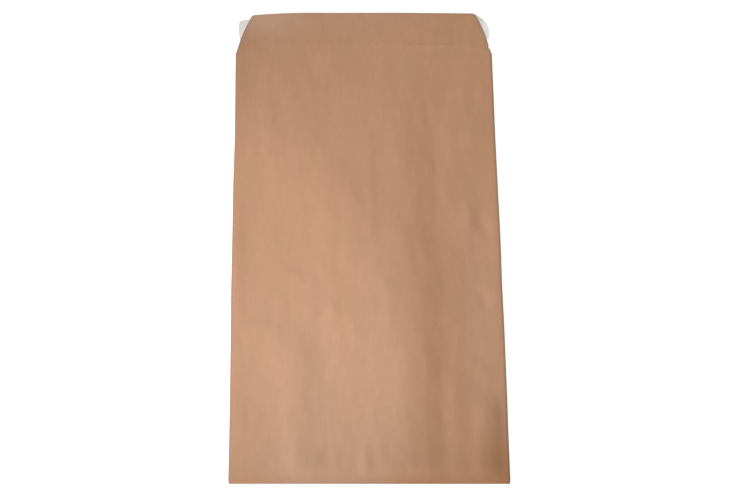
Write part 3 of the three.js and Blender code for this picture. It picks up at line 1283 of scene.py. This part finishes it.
@dataclass
class KraftBag:
    """The folded sheet: tube, gussets, turned-up bottom and flap.

    Attributes:
        sizes: Sizes of the folded bag.
        panel: Surface of its front panel and flap.
        finish: Its paper.
        column_step: Distance between columns on the front panel.
        hidden_step: Distance between columns on the back panel and in the gussets.
        row_step: Distance between rows along the bag.
        turn_up_step: Distance between rows on the turned-up bottom.
        wear_and_shade_width: Width of the darker line along folds and cut edges, partly wear and partly
            painted shade.
        stray: How far the side folds usually stray from a straight line.
        stray_run: Distance along them between one stray and the next.
        stray_start: Length over the bottom in which the straying sets in.
        waist: How far the left side fold is drawn in at its narrowest place.
        waist_place: Where that is along the bag.
        waist_reach: How far along the bag it reaches either way.
        blunting: How far in the bottom corners are blunted.
        blunt_run: Length over the bottom that the blunting takes.
        nick: Depth of the nick in the flap's right side, under the score line.
        nick_height: Its height over the mouth.
        nick_reach: How far it reaches up and down.
    """

    sizes: BagSizes
    panel: FrontPanel
    finish: KraftFinish = field(default_factory=KraftFinish)
    column_step: float = 2.5 * MM
    hidden_step: float = 6 * MM
    row_step: float = 2.6 * MM
    turn_up_step: float = 3 * MM
    wear_and_shade_width: float = 0.7 * MM
    stray: float = 0.22 * MM
    stray_run: float = 48 * MM
    stray_start: float = 25 * MM
    waist: float = 0.7 * MM
    waist_place: float = 318 * MM
    waist_reach: float = 34 * MM
    blunting: float = 0.5 * MM
    blunt_run: float = 3.5 * MM
    nick: float = 1.1 * MM
    nick_height: float = 6.4 * MM
    nick_reach: float = 1.3 * MM

    def across(self) -> np.ndarray:
        """Places of the columns over the front panel, as shares of its half width."""
        return spaced(-1.0, 1.0, self.column_step / self.sizes.side_centre)

    def section(self, length: float) -> Section:
        """Lays out the tube's cross-section.

        Args:
            length: Place along the bag.

        Returns:
            The section there.
        """
        sizes, stock = self.sizes, self.sizes.stock
        radius, half = stock.fold_radius, stock.half
        edge = sizes.side_centre
        front = float(sizes.side_height(length) - sizes.back_lift(length))
        middle = (half + front) / 2
        lap = half + stock.thickness + stock.glue
        step_top = -sizes.lap / 2 - sizes.lap_step_run / 2
        step_foot = step_top - sizes.lap_step_run
        stretches: list[tuple[Part, np.ndarray, np.ndarray]] = []

        def line(x0: float, z0: float, x1: float, z1: float) -> None:
            """Adds a flat stretch."""
            x = spaced(x0, x1, self.hidden_step)
            stretches.append((Part.FLAT, x, np.interp(np.linspace(0, 1, len(x)), [0, 1], [z0, z1])))

        def fold(x: float, z: float, start: float, turn: float) -> None:
            """Adds a fold round a middle."""
            angle = start + turn * np.linspace(0.0, 1.0, 5)
            stretches.append((Part.FOLD, x + radius * np.cos(angle), z + radius * np.sin(angle)))

        def gusset(side: Side, first: float, last: float) -> None:
            """Adds a gusset with its two side folds.

            Args:
                side: Which side.
                first: Height of the middle of the side fold that comes first.
                last: Height of the middle of the other one.
            """
            outer, inner = side.value * edge, side.value * sizes.gusset_centre
            start, rise = side.value * math.pi / 2, -side.value * radius
            fold(outer, first, start, -math.pi)
            line(outer, first + rise, inner, middle - rise)
            fold(inner, middle, start, math.pi)
            line(inner, middle + rise, outer, last - rise)
            fold(outer, last, start, -math.pi)

        line(sizes.lap / 2, lap, step_top, lap)
        stair = spaced(step_top, step_foot, sizes.lap_step_run / 5)
        stretches.append((Part.FLAT, stair, half + (lap - half) * ramp(stair, step_foot, step_top)))
        line(step_foot, half, -edge, half)
        gusset(Side.LEFT, half + radius, front - radius)
        x = self.across() * edge
        height = self.panel.height(x, np.full_like(x, length)) - sizes.back_lift(length)
        stretches.append((Part.FRONT, x, height))
        gusset(Side.RIGHT, front - radius, half + radius)
        line(edge, half, -sizes.lap / 2, half)
        return Section.joined(stretches)

    def side_wander(self, length: float, side: Side) -> float:
        """How far a side fold strays outwards from its straight line.

        Args:
            length: Place along the bag.
            side: Which side.

        Returns:
            The way outwards, below 0 where it strays inwards.
        """
        drawn = Unevenness(seed=40 + side.value, across=1.0, along=self.stray_run, height=self.stray)
        stray = drawn.at(0.0, length)
        if side is Side.LEFT:
            stray = stray - self.waist * np.exp(-(((length - self.waist_place) / self.waist_reach) ** 2))
        blunt = self.blunting * (1 - ramp(length, 0.0, self.blunt_run))
        return float(stray * ramp(length, 0.0, self.stray_start) - blunt)

    def stops(self) -> list[Stop]:
        """The sheet's way along the bag: under the bottom, round the bend and over the top to the mouth.

        Returns:
            Where each row of the tube lies, in that order.
        """
        sizes = self.sizes
        stack = sizes.stock.pressed_rise + sizes.stock.thickness
        centre, inside = sizes.bend_centre, sizes.bend_inside
        found = []
        for y in spaced(sizes.turn_up, centre, self.turn_up_step)[:-1]:
            found.append(Stop(length=0.0, y=y, z=stack, lean=math.pi, walked=-y))
        for lean in np.linspace(math.pi, 0.0, 7):
            y, z = centre - inside * math.sin(lean), centre + inside * math.cos(lean)
            walked = centre * (1 - 2 * lean / math.pi)
            found.append(Stop(length=0.0, y=y, z=z, lean=lean, walked=walked))
        for y in self.lengths_over():
            found.append(Stop(length=y, y=y, z=float(sizes.back_lift(y)), lean=0.0, walked=y))
        return found

    def lengths_over(self) -> np.ndarray:
        """Lengths of the rows on the upper side of the tube, closer together at the bottom and the mouth.

        Returns:
            The lengths after the bend, up to the mouth.
        """
        sizes = self.sizes
        foot = (9 * MM, 1.6 * MM)
        body = (sizes.tube - 3 * MM, self.row_step)
        mouth = (sizes.tube, 1.0 * MM)
        return graded(sizes.bend_centre, foot, body, mouth)

    def flap_outline(self, side: Side) -> np.ndarray:
        """Outline of the flap's side from the mouth up, as half width and height.

        Args:
            side: Which side, since the right one has a nick under the score line.

        Returns:
            The points of a straight taper, a side that bows outwards and a rounded corner.
        """
        sizes = self.sizes
        mouth = np.array([sizes.side_centre, 0.0])
        crease = np.array([sizes.side_centre - sizes.crease_inset, sizes.crease])
        bulge = np.array([sizes.side_centre - sizes.bulge_inset, sizes.flap - sizes.bulge_drop])
        tip = np.array([sizes.side_centre - sizes.corner_inset, sizes.flap])
        toward = (bulge - tip) / np.linalg.norm(bulge - tip)
        round_start = tip + toward * sizes.corner_round
        round_end = tip - np.array([sizes.corner_round, 0.0])

        def bowed(a: np.ndarray, b: np.ndarray, c: np.ndarray, pieces: int) -> np.ndarray:
            """Points after the first on a curve from a to c that is drawn towards b."""
            t = np.linspace(0.0, 1.0, pieces + 1)[1:, None]
            return (1 - t) ** 2 * a + 2 * t * (1 - t) * b + t**2 * c

        taper = mouth + np.linspace(0.0, 1.0, 12)[:, None] * (crease - mouth)
        bow = bowed(crease, bulge, round_start, pieces=40)
        corner = bowed(round_start, tip, round_end, pieces=12)
        points = np.vstack([taper, bow, corner])
        if side is Side.RIGHT:
            off_nick = (points[:, 1] - self.nick_height) / self.nick_reach
            points[:, 0] -= self.nick * np.exp(-(off_nick**2))
        return points

    def flap_heights(self) -> np.ndarray:
        """Heights of the rows on the flap, closer together near the score line and in the corners.

        Returns:
            The heights over the mouth, up to the flap's top edge.
        """
        sizes = self.sizes
        corner_run = 5 * MM
        lower = (5 * MM, 0.9 * MM)
        score = (sizes.crease + 1 * MM, 0.35 * MM)
        body = (sizes.flap - corner_run, 2.2 * MM)
        corner = sizes.flap - corner_run + corner_run * np.sin(np.linspace(0.0, math.pi / 2, 8))
        return np.concatenate([graded(0.0, lower, score, body), corner[1:]])

    def half_width(self, height: float, side: Side) -> float:
        """Half width of the flap at a height over the mouth."""
        outline = self.flap_outline(side)
        return float(np.interp(height, outline[:, 1], outline[:, 0]))

    def tube_row(self, stop: Stop) -> Columns:
        """Lays out a row of the tube.

        Args:
            stop: Where it lies.

        Returns:
            The points as "point" and the finish's fields by name, with a value for each column.
        """
        section = self.section(stop.length)
        x, height, front = section.x, section.height, section.front
        run = np.hypot(np.diff(x, prepend=x[0]), np.diff(height, prepend=height[0])).cumsum()
        middle = (front.start + front.stop - 1) // 2
        run = run - run[middle] + x[middle]
        left, right = (side.value * self.side_wander(stop.length, side) for side in Side)
        moved = x + np.where(x < 0, left, right) * (x / self.sizes.side_centre) ** 4
        y, z = stop.y - height * math.sin(stop.lean), stop.z + height * math.cos(stop.lean)
        from_fold = np.abs(run[:, None] - run[section.turns][None, :]).min(axis=1)
        from_edge = np.minimum(run - run[0], run[-1] - run)
        # Spots of painted sheen and shade on the front panel.
        sheen_and_shade_patch = self.panel.handling.painted_sheen_and_shade(x[front], np.full_like(x[front], stop.length))
        return {
            "point": np.stack([moved, y, z], axis=1),
            "place": np.stack([run, np.full_like(run, stop.walked), np.zeros_like(run)], axis=1),
            "wear_and_shade": self.fold_wear_and_shade(np.minimum(np.minimum(from_fold, from_edge), abs(stop.walked))),
            "sheen_and_shade_patch": section.spread(sheen_and_shade_patch, 0.0),
        }

    def flap_row(self, height: float, mouth: Section) -> Columns:
        """Lays out a row of the flap, which has only the front panel's columns.

        Args:
            height: Its height over the mouth.
            mouth: Cross-section of the tube at the mouth.

        Returns:
            The points as "point" and the finish's fields by name, with a value for each column.
        """
        across = self.across()
        left, right = (self.half_width(height, side) for side in Side)
        x = np.where(across < 0, across * left, across * right)
        length = np.full_like(x, self.sizes.tube + height)
        point = np.stack([x, length, self.panel.height(x, length)], axis=1)
        place = np.stack([x, length, np.zeros_like(x)], axis=1)
        from_edge = np.minimum(np.where(x < 0, left + x, right - x), self.sizes.flap - height)
        return {
            "point": mouth.spread(point, np.nan),
            "place": mouth.spread(place, 0.0),
            "wear_and_shade": mouth.spread(self.fold_wear_and_shade(from_edge), 0.0),
            # Spots of painted sheen and shade on the flap.
            "sheen_and_shade_patch": mouth.spread(self.panel.handling.painted_sheen_and_shade(x, length), 0.0),
        }

    def fold_wear_and_shade(self, distance: np.ndarray) -> np.ndarray:
        """How much the paper is darkened at a distance from the nearest fold or edge, partly wear and partly
        painted shade.
        """
        return np.exp(-((distance / self.wear_and_shade_width) ** 2))

    def sheet(self) -> tuple[Sheet, Columns]:
        """Lays out the whole sheet.

        Returns:
            The sheet and the fields that its finish reads.
        """
        mouth = self.section(self.sizes.tube)
        rows = [self.tube_row(stop) for stop in self.stops()]
        rows += [self.flap_row(height, mouth) for height in self.flap_heights()]
        fields = {name: np.stack([row[name] for row in rows]) for name in rows[0]}
        grid = fields.pop("point")
        grid[..., 1] -= self.sizes.overall / 2
        return Sheet(grid, self.sizes.stock.thickness), fields

    def build(self) -> bpy.types.Object:
        """Builds the bag and gives it its paper.

        Returns:
            The finished object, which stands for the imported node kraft_bag.
        """
        sheet, fields = self.sheet()
        mesh = sheet.mesh("kraft_bag_paper", fields)
        mesh.materials.append(self.finish.material())
        bag = add_object("kraft_bag_paper", mesh)
        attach(bag, "root")
        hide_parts("kraft_bag")
        return bag


@dataclass
class PeelAndSeal:
    """The closure under the flap: a band of adhesive and the release liner over it.

    Attributes:
        panel: Surface that it is stuck under.
        sizes: Sizes of the folded bag.
        liner_finish: Paper of the liner.
        bond: Air that stands for the bond on either side of the adhesive.
        adhesive: Thickness of the band of adhesive.
        adhesive_width: Its width along the bag.
        liner: Thickness of the liner.
        liner_width: Its width along the bag.
        liner_drop: How far below the flap's top edge it lies, in its middle.
        liner_tilt: Angle at which it lies, its right end being higher.
        grid_step: Distance between columns of the band, and of the liner's bonded part.
        band_row_step: Distance between rows of the band.
        liner_row_step: Distance between rows of the liner.
        end_hold: How far inside the bonded part the columns start to follow the torn end.
        end_share: Distance between those columns, as a share of their stretch.
        left_curl: How far the liner's free left end hangs down.
        right_curl: The same for its right end, which stands up a little.
        rest: Lowest height of the middle of the liner's paper over the table.
        pinch: Place across the bag and height over the mouth of the painted shade in the crumple of the right
            end.
        pinch_reach: How far that painted shade reaches.
        pinch_flatness: Weight of the height in the distance from it, which makes it flat.
        pinch_slant: Weight of the place across in the same, which makes it slant down to the right.
    """

    panel: FrontPanel
    sizes: BagSizes
    liner_finish: LinerFinish = field(default_factory=LinerFinish)
    bond: float = 0.03 * MM
    adhesive: float = 0.12 * MM
    adhesive_width: float = 16 * MM
    liner: float = 0.08 * MM
    liner_width: float = 26 * MM
    liner_drop: float = 2.5 * MM
    liner_tilt: float = math.radians(0.8)
    grid_step: float = 3 * MM
    band_row_step: float = 2 * MM
    liner_row_step: float = 0.65 * MM
    end_hold: float = 4 * MM
    end_share: float = 0.05
    left_curl: float = 1.2 * MM
    right_curl: float = -0.12 * MM
    rest: float = 0.08 * MM
    pinch: tuple[float, float] = (116.5 * MM, 35.4 * MM)
    pinch_reach: float = 1.9 * MM
    pinch_flatness: float = 2.0
    pinch_slant: float = 1.2

    def low(self) -> float:
        """Height over the mouth of the liner's lower edge, in its middle."""
        return self.sizes.flap - self.liner_drop - self.liner_width

    def under(self, x: np.ndarray, height: np.ndarray, distance: float) -> np.ndarray:
        """Points a distance below the middle of the flap's paper.

        Args:
            x: Places across the bag.
            height: Heights over the mouth.
            distance: How far below the paper.

        Returns:
            The points, with a last axis of 3.
        """
        length = self.sizes.tube + height
        z = self.panel.height(x, length) - distance
        return np.stack([x, length - self.sizes.overall / 2, z], axis=-1)

    def band(self, half: float) -> bpy.types.Object:
        """Builds the band of adhesive.

        Args:
            half: Half the band's length.

        Returns:
            The finished object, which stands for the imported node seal_adhesive.
        """
        middle = self.low() + self.liner_width / 2
        reach = self.adhesive_width / 2
        heights = spaced(middle - reach, middle + reach, self.band_row_step)
        x, height = np.meshgrid(spaced(-half, half, self.grid_step), heights)
        distance = self.sizes.stock.half + self.bond + self.adhesive / 2
        mesh = Sheet(self.under(x, height, distance), self.adhesive).mesh("adhesive_band", {})
        mesh.materials.append(HOT_MELT.material())
        band = add_object("adhesive_band", mesh)
        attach(band, "root")
        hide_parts("seal_adhesive")
        return band

    def liner_end(self, height: np.ndarray, half: float, side: Side) -> np.ndarray:
        """Where the liner ends at a height over the mouth: torn off askew, and with its corners rounded by
        wear.

        Args:
            height: Heights over the mouth.
            half: Half the length of the whole liner.
            side: Which end.

        Returns:
            How far that end reaches from the bag's middle.
        """
        left = ((12, 4.2), (17, 1.9), (22, 1.1), (29, 0.7), (34, 1.0), (36.4, 2.4), (37.4, 6.0), (38.2, 12.5))
        right = ((11, 2.0), (17, 0.2), (26, 0.4), (31.5, 2.2), (36, 6.3), (38.8, 8.9), (41.4, 14.0))
        tears = {Side.LEFT: left, Side.RIGHT: right}
        heights, cuts = np.array(tears[side]).T * MM
        return half - np.interp(height, heights, cuts)

    def strip(self, bonded: float, half: float) -> bpy.types.Object:
        """Builds the liner.

        Args:
            bonded: Half the length that the adhesive holds.
            half: Half the length of the liner.

        Returns:
            The finished object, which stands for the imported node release_liner.
        """
        end = spaced(0.0, 1.0, self.end_share)
        hold = bonded - self.end_hold
        middle = spaced(-hold, hold, self.grid_step)
        numbers = np.arange(2 * len(end) + len(middle) - 2)
        number, up = np.meshgrid(numbers, spaced(0.0, self.liner_width, self.liner_row_step))
        tilt = np.interp(number, [0, number.max()], [-half, half]) * math.tan(self.liner_tilt)
        height = self.low() + up + tilt
        left = -hold - (self.liner_end(height[:, :1], half, Side.LEFT) - hold) * end[None, :0:-1]
        right = hold + (self.liner_end(height[:, -1:], half, Side.RIGHT) - hold) * end[None, 1:]
        x = np.hstack([left, np.repeat(middle[None, :], len(up), axis=0), right])
        distance = self.sizes.stock.half + 2 * self.bond + self.adhesive + self.liner / 2
        points = self.under(x, height, distance)
        free = np.clip((np.abs(x) - bonded) / (half - bonded), 0.0, 1.0)
        points[..., 2] -= np.where(x < 0, self.left_curl, self.right_curl) * free**2
        points[..., 2] = np.maximum(points[..., 2], self.rest)
        off_x, off_height = x - self.pinch[0], height - self.pinch[1]
        off_pinch = np.hypot(off_x, self.pinch_flatness * off_height + self.pinch_slant * off_x)
        # Painted shade of a crumple in the right end; the crumple itself is not built.
        painted_crumple_shade = np.exp(-((off_pinch / self.pinch_reach) ** 2))
        fields = {"place": np.stack([x, up, np.zeros_like(x)], axis=-1), "wear_and_shade": painted_crumple_shade}
        mesh = Sheet(points, self.liner).mesh("liner_strip", fields)
        mesh.materials.append(self.liner_finish.material())
        strip = add_object("liner_strip", mesh)
        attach(strip, "root")
        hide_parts("release_liner")
        return strip


@dataclass(frozen=True)
class Studio:
    """Floor, lights and camera round the bag.

    Attributes:
        lens: Focal length for the camera's 36 mm wide picture.
        eye: Place of the camera.
        elevation: Degrees that it looks down by.
        shift: Sideways and upward shift of the picture, as a share of its width.
        key_place: Place of the key lamp.
        key_aim: Where the middle of its beam meets the floor, past the bag, so that the bag is lit evenly.
        key_cone: Degrees across its beam, which is soft from the middle out.
        key_radius: Radius of its disc.
        key_power: Its power in watts.
        fill: Strength of the even light from all round.
        fill_colour: Its colour, warmed by the room.
        floor_half: Half the side of the floor.
        floor_colour: Its colour.
        floor_roughness: Its roughness.
        floor_glow: Light that the floor shows without giving any to the bag.
    """

    lens: float = 27.0
    eye: Triple = (-53.5 * MM, -59.7 * MM, 513.2 * MM)
    elevation: float = 82.47
    shift: tuple[float, float] = (0.078, -0.0302)
    key_place: Triple = (-1.3, -0.75, 0.62)
    key_aim: Triple = (0.24, 0.14, 0.0)
    key_cone: float = 27.6
    key_radius: float = 0.12
    key_power: float = 160.0
    fill: float = 0.42
    fill_colour: Triple = (1.0, 0.93, 0.83)
    floor_half: float = 3.0
    floor_colour: Triple = (0.86, 0.86, 0.86)
    floor_roughness: float = 0.9
    floor_glow: float = 0.75

    def camera(self) -> None:
        """Sets up the camera at the photograph's place."""
        data = bpy.data.cameras.new("camera")
        data.lens = self.lens
        data.shift_x, data.shift_y = self.shift
        data.clip_start = 0.01
        camera = add_object("camera", data)
        camera.location = self.eye
        camera.rotation_euler = (math.radians(90 - self.elevation), 0.0, 0.0)
        bpy.context.scene.camera = camera

    def lights(self) -> None:
        """Sets up one soft key light and an even fill."""
        lamp = bpy.data.lights.new("key", "SPOT")
        lamp.spot_size = math.radians(self.key_cone)
        lamp.spot_blend = 1.0
        lamp.shadow_soft_size = self.key_radius
        lamp.energy = self.key_power
        key = add_object("key", lamp)
        key.location = self.key_place
        key.rotation_euler = (Vector(self.key_aim) - key.location).to_track_quat("-Z", "Y").to_euler()
        world = bpy.data.worlds.new("studio")
        world.use_nodes = True
        bpy.context.scene.world = world
        tree = NodeTree(world.node_tree)
        seen = tree.seen()
        background = world.node_tree.nodes["Background"]
        white = (1.0, 1.0, 1.0, 1.0)
        tree.wire(tree.blend(seen, (*self.fill_colour, 1.0), white), background.inputs["Color"])
        tree.wire(tree.span(seen, 0.0, 1.0, self.fill, 1.0), background.inputs["Strength"])

    def floor(self) -> bpy.types.Object:
        """Lays the pale floor, which shows near white and keeps the bag's shadow.

        Returns:
            The floor.
        """
        mesh = bpy.data.meshes.new("floor")
        reach = self.floor_half
        corners = [(-reach, -reach, 0.0), (reach, -reach, 0.0), (reach, reach, 0.0), (-reach, reach, 0.0)]
        mesh.from_pydata(corners, [], [(0, 1, 2, 3)])
        shader = Shader("floor")
        glow = shader.math("MULTIPLY", shader.seen(), self.floor_glow)
        shader.coat(
            {
                "Base Color": (*self.floor_colour, 1.0),
                "Roughness": self.floor_roughness,
                "Specular IOR Level": 0.0,
                "Emission Color": (1.0, 1.0, 1.0, 1.0),
                "Emission Strength": glow,
            }
        )
        mesh.materials.append(shader.material)
        floor = add_object("floor", mesh)
        return floor

    def build(self) -> None:
        """Builds all of it."""
        self.camera()
        self.lights()
        self.floor()
        bpy.context.scene.view_settings.view_transform = "Standard"


def dress(node: bpy.types.Object, finish: FilmFinish) -> None:
    """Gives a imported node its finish.

    Args:
        node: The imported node's object.
        finish: The finish.
    """
    node.data.materials.clear()
    node.data.materials.append(finish.material())


def corners(box: tuple) -> list[list[float]]:
    """Turns a box's two corners into plain lists."""
    return [[float(value) for value in corner] for corner in box]


def main() -> None:
    """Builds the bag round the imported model."""
    logging.basicConfig(level=logging.INFO, format="%(message)s")
    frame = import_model()
    low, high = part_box("kraft_bag")
    sizes = BagSizes(width=high[0] - low[0], overall=high[1] - low[1])
    panel = FrontPanel(sizes)
    Studio().build()

    bag = KraftBag(sizes, panel).build()
    LOG.info("%s: %d faces", bag.name, len(bag.data.polygons))
    closure = PeelAndSeal(panel, sizes)
    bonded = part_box("seal_adhesive")[1][0]
    for piece in (closure.band(bonded), closure.strip(bonded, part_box("release_liner")[1][0])):
        LOG.info("%s: %d faces", piece.name, len(piece.data.polygons))
    for name in ("seam_glue", "bottom_glue"):
        dress(frame["nodes"][name], PASTE)
        LOG.info("%s: packed node, dressed", name)


if __name__ == "__main__":
    main()
